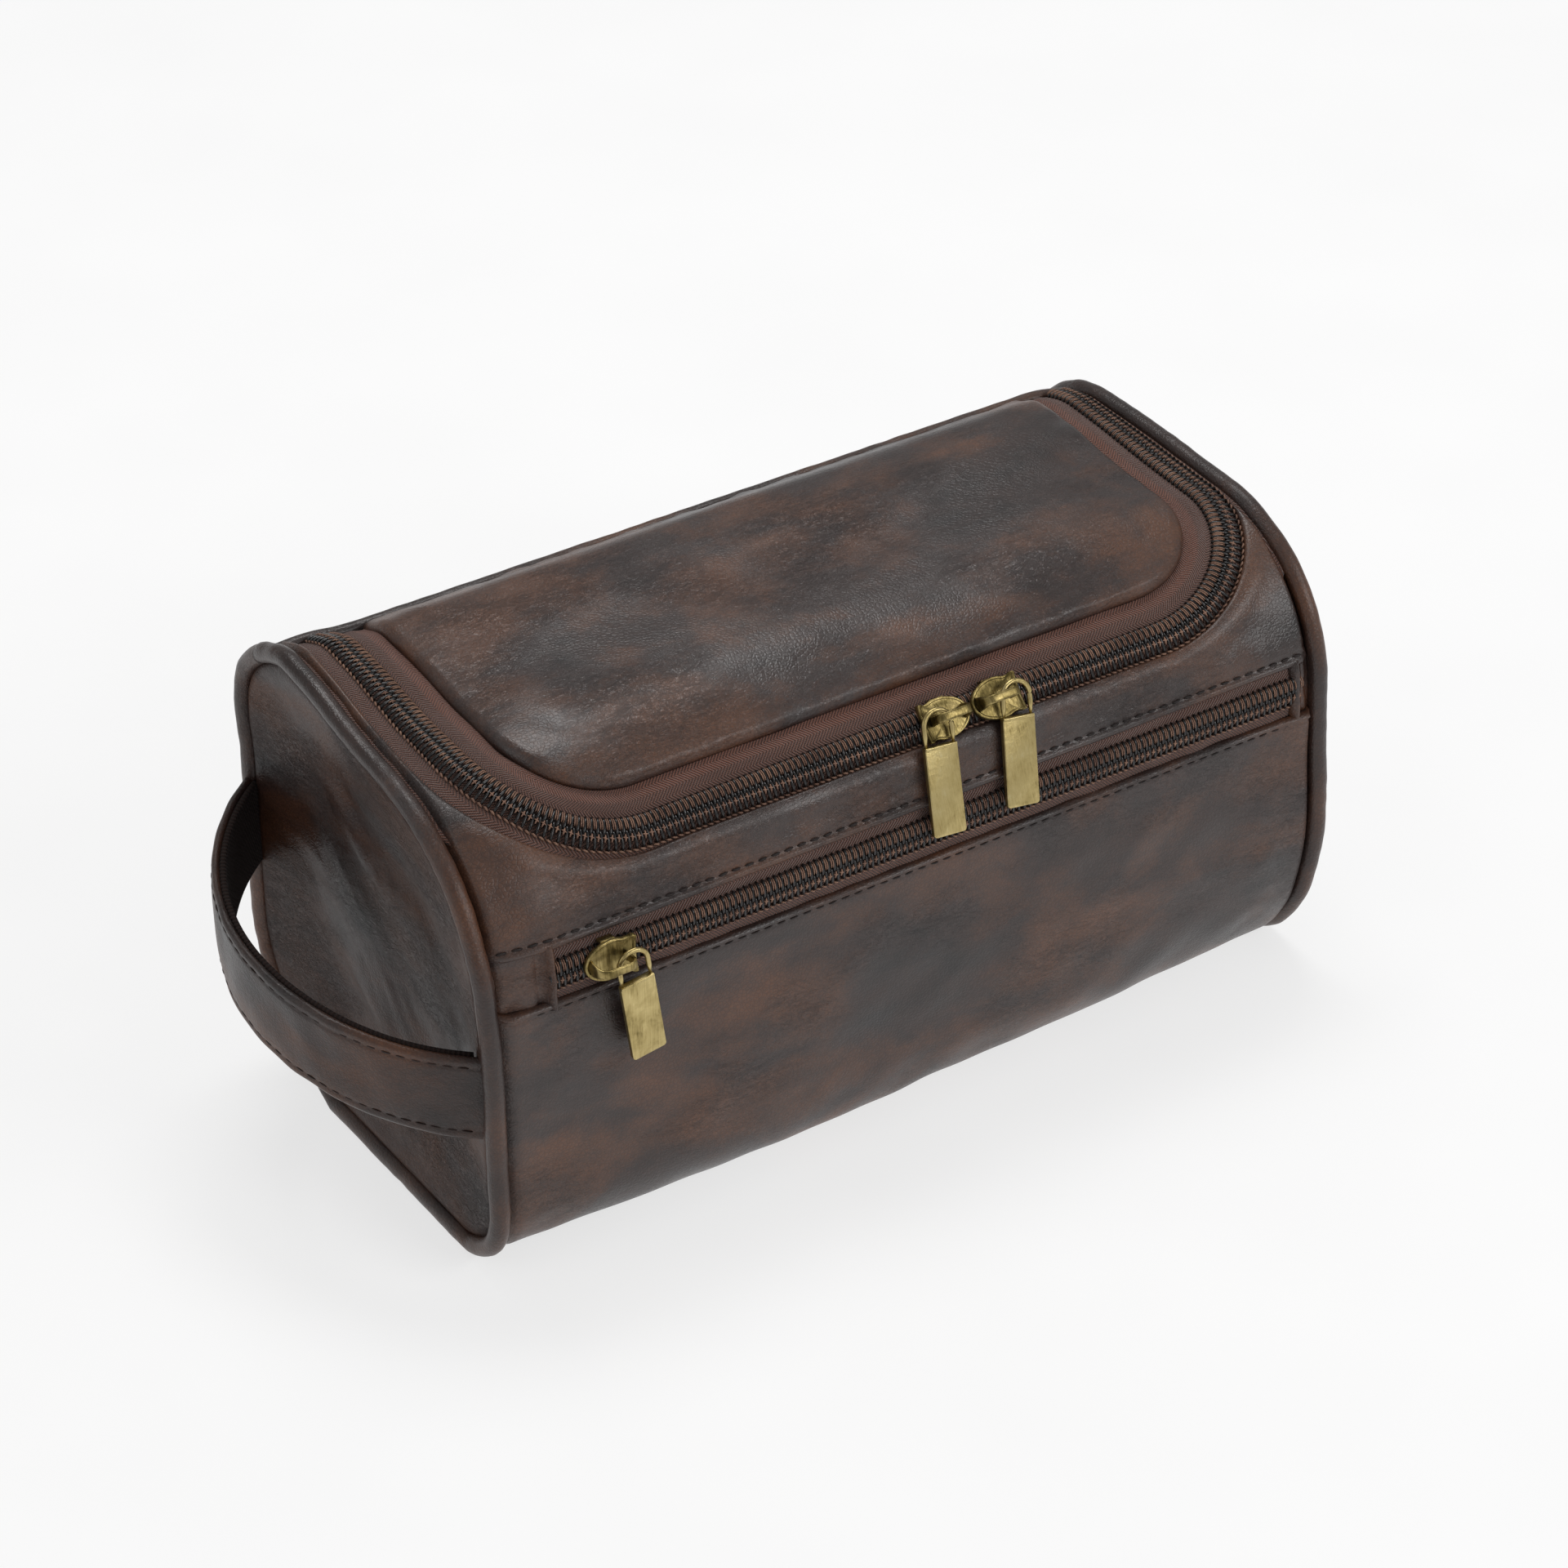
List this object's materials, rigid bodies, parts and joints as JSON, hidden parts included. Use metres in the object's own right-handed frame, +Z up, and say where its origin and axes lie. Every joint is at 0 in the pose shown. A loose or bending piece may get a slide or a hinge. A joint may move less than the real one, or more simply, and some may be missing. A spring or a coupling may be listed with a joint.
{
  "type": "shaving kit bag",
  "caption": "Soft leather shaving kit bag with a zipped lid hinged at the back, a zipped front pocket and a carry strap on one end.",
  "frame": {"origin": "centre of the bag's flat base, midway between the end pipings and between the front and back faces; the carry strap stands out past the left end", "axes": "+X along the bag, to the right as the front pocket is seen; -Y out of the front; +Z up"},
  "size_m": [0.2905, 0.1359, 0.1333],
  "materials": {
    "leather": "smooth oiled dark brown leather, mottled, semi-gloss",
    "piping": "folded leather over cord, semi-gloss",
    "zip_tape": "reddish brown herringbone zip tape",
    "zip_coil": "black nylon coil with brown sewing thread",
    "lining": "plain woven lining",
    "foam": "thin foam wadding",
    "board": "stiff fibre board",
    "webbing": "dark woven webbing",
    "brass": "antique brass, brushed"
  },
  "bodies": {
    "shell": {"front_upper_panel": "leather", "front_pocket_panel": "leather", "bottom_panel": "leather", "back_panel": "leather", "left_end_panel": "leather", "right_end_panel": "leather", "pocket_zip_left_cover": "leather", "pocket_zip_right_cover": "leather", "handle_front_end": "leather", "handle_rear_end": "leather", "left_piping": "piping", "right_piping": "piping", "rear_piping": "piping", "main_zip_outer_tape": "zip_tape", "pocket_zip_upper_tape": "zip_tape", "pocket_zip_lower_tape": "zip_tape", "main_zip_outer_coil": "zip_coil", "pocket_zip_upper_coil": "zip_coil", "pocket_zip_lower_coil": "zip_coil", "pocket_lining": "lining", "front_lining": "lining", "bottom_lining": "lining", "back_lining": "lining", "left_end_lining": "lining", "right_end_lining": "lining", "base_board": "board"},
    "lid": {"lid_panel": "leather", "lid_padding": "foam", "lid_lining": "lining", "main_zip_inner_tape": "zip_tape", "main_zip_inner_coil": "zip_coil"},
    "left_slider": {"left_slider_body": "brass", "left_slider_crown": "brass"},
    "right_slider": {"right_slider_body": "brass", "right_slider_crown": "brass"},
    "pocket_slider": {"pocket_slider_body": "brass", "pocket_slider_crown": "brass"},
    "left_tab": {"left_slider_pull_tab": "brass"},
    "right_tab": {"right_slider_pull_tab": "brass"},
    "pocket_tab": {"pocket_slider_pull_tab": "brass"},
    "handle": {"handle_strap": "leather", "handle_webbing": "webbing"}
  },
  "joints": [
    {"name": "lid_hinge", "type": "hinge", "parent": "shell", "child": "lid", "pos_m": [0, 0.04608, 0.12813], "axis": [-1, 0, 0], "range_deg": [0, 120]},
    {"name": "left_slider_run", "type": "slide", "parent": "lid", "child": "left_slider", "axis": [-1, 0, 0], "range_m": [0, 0.079]},
    {"name": "right_slider_run", "type": "slide", "parent": "lid", "child": "right_slider", "axis": [1, 0, 0], "range_m": [0, 0.045]},
    {"name": "pocket_slider_run", "type": "slide", "parent": "shell", "child": "pocket_slider", "axis": [1, 0, 0], "range_m": [0, 0.085]},
    {"name": "left_tab_swing", "type": "hinge", "parent": "left_slider", "child": "left_tab", "pos_m": [0.008, -0.0567, 0.11677], "axis": [-1, 0, 0], "range_deg": [0, 60]},
    {"name": "right_tab_swing", "type": "hinge", "parent": "right_slider", "child": "right_tab", "pos_m": [0.0325, -0.0567, 0.11677], "axis": [-1, 0, 0], "range_deg": [0, 60]},
    {"name": "pocket_tab_swing", "type": "hinge", "parent": "pocket_slider", "child": "pocket_tab", "pos_m": [-0.0905, -0.06835, 0.089], "axis": [-1, 0, 0], "range_deg": [0, 45]},
    {"name": "handle_swing", "type": "hinge", "parent": "shell", "child": "handle", "pos_m": [-0.1383, 0.0005, 0.06257], "axis": [0, 0.9901, 0.1406], "range_deg": [-20, 30], "stiffness_Nm_per_rad": 0.1, "deforming": ["handle_front_end", "handle_rear_end"]}
  ]
}
